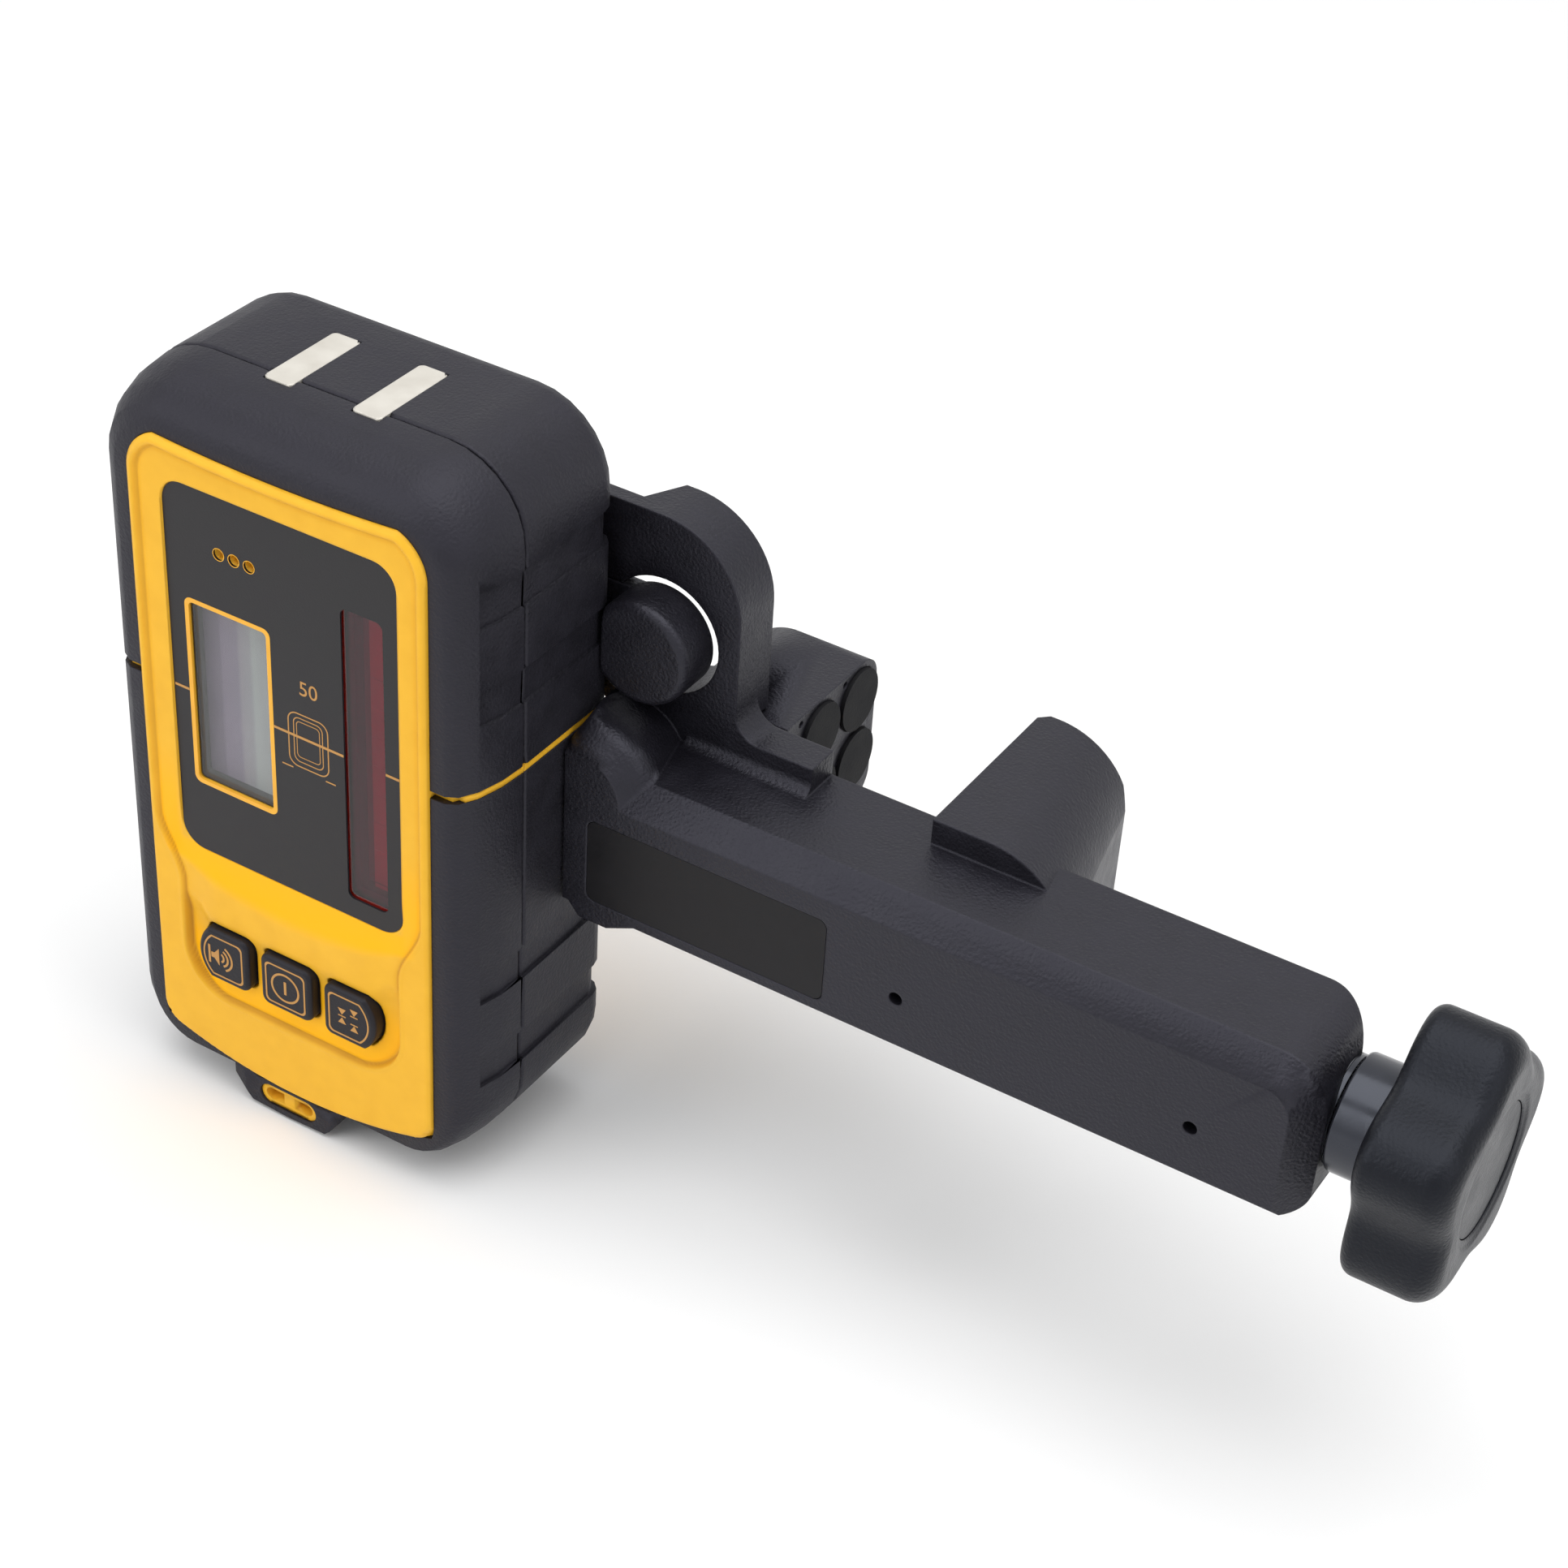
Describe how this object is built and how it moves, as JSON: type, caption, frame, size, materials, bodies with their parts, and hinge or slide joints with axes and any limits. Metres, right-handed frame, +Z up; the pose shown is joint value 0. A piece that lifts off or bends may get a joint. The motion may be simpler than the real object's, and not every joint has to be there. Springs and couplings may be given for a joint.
{
  "type": "laser receiver with staff clamp",
  "caption": "Handheld laser-level receiver in a yellow and black housing, latched to a screw clamp that grips a levelling staff.",
  "frame": {"origin": "middle of the fixed jaw's grip face, where the staff bears", "axes": "+X along the clamp screw from the receiver towards the knob, +Y from the receiver's front to its back, +Z up"},
  "size_m": [0.2105, 0.0729, 0.126],
  "materials": {
    "yellow_shell": "moulded, fine grain",
    "grip_rubber": "soft-touch, matt",
    "label_film": "printed film, satin",
    "clear_pane": "clear, gloss",
    "red_pane": "dark red, gloss",
    "lcd_glass": "grey display glass",
    "circuit_parts": "dull",
    "circuit_board": "solder mask",
    "key_rubber": "matt",
    "magnet": "ground, dull",
    "gasket_rubber": "matt",
    "screw_steel": "zinc-plated",
    "battery_case": "plain wrapper",
    "clamp_plastic": "moulded, fine grain",
    "arm_label": "printed film, satin",
    "pad_rubber": "matt",
    "nut_brass": "turned",
    "bush_plastic": "natural acetal",
    "knob_plastic": "moulded, satin gloss"
  },
  "bodies": {
    "receiver_and_arm": {"front_housing": "yellow_shell", "front_grip_upper": "grip_rubber", "front_grip_lower": "grip_rubber", "rear_housing": "yellow_shell", "rear_grip_upper": "grip_rubber", "rear_grip_lower": "grip_rubber", "label_overlay": "label_film", "display_window": "clear_pane", "sensor_window": "red_pane", "lcd_module": "lcd_glass", "photodiode_strip": "circuit_parts", "main_board": "circuit_board", "buzzer": "circuit_parts", "keypad_mat": "key_rubber", "top_magnets": "magnet", "seam_gasket": "gasket_rubber", "housing_screws": "screw_steel", "battery_door_pin": "screw_steel", "battery": "battery_case", "battery_contacts": "circuit_parts", "clamp_arm": "clamp_plastic", "arm_label": "arm_label", "latch_pin": "screw_steel", "latch_spring": "screw_steel", "screw_bush": "bush_plastic", "thrust_washer": "screw_steel"},
    "knob": {"clamp_knob": "knob_plastic", "knob_cap": "knob_plastic", "clamp_screw": "screw_steel", "retaining_clip": "screw_steel"},
    "jaw": {"moving_jaw": "clamp_plastic", "moving_jaw_pads": "pad_rubber", "jaw_nut": "nut_brass"},
    "sound_key": {"sound_button": "key_rubber"},
    "power_key": {"power_button": "key_rubber"},
    "range_key": {"range_button": "key_rubber"},
    "latch": {"latch_lever": "clamp_plastic"},
    "battery_lid": {"battery_door": "yellow_shell"}
  },
  "joints": [
    {"name": "knob_turn", "type": "hinge", "parent": "receiver_and_arm", "child": "knob", "pos_m": [0, -0.02285, -0.0037], "axis": [-1, 0, 0], "range_deg": [-540, 2250]},
    {"name": "jaw_slide", "type": "slide", "parent": "receiver_and_arm", "child": "jaw", "axis": [1, 0, 0], "range_m": [-0.006, 0.025]},
    {"name": "sound_press", "type": "slide", "parent": "receiver_and_arm", "child": "sound_key", "axis": [0, 1, 0], "range_m": [0, 0.001], "stiffness_N_per_m": 900},
    {"name": "power_press", "type": "slide", "parent": "receiver_and_arm", "child": "power_key", "axis": [0, 1, 0], "range_m": [0, 0.001], "stiffness_N_per_m": 900},
    {"name": "range_press", "type": "slide", "parent": "receiver_and_arm", "child": "range_key", "axis": [0, 1, 0], "range_m": [0, 0.001], "stiffness_N_per_m": 900},
    {"name": "latch_press", "type": "hinge", "parent": "receiver_and_arm", "child": "latch", "pos_m": [-0.0929, -0.01755, 0.0261], "axis": [0, 0, 1], "range_deg": [0, 6], "stiffness_Nm_per_rad": 1.2, "deforming": ["latch_spring"]},
    {"name": "battery_door_open", "type": "hinge", "parent": "receiver_and_arm", "child": "battery_lid", "pos_m": [-0.0869, -0.02395, -0.0482], "axis": [-1, 0, 0], "range_deg": [0, 90]}
  ],
  "couplings": [
    {"joint": "jaw_slide", "follows": "knob_turn", "m_per_rad": 0.00063662}
  ]
}
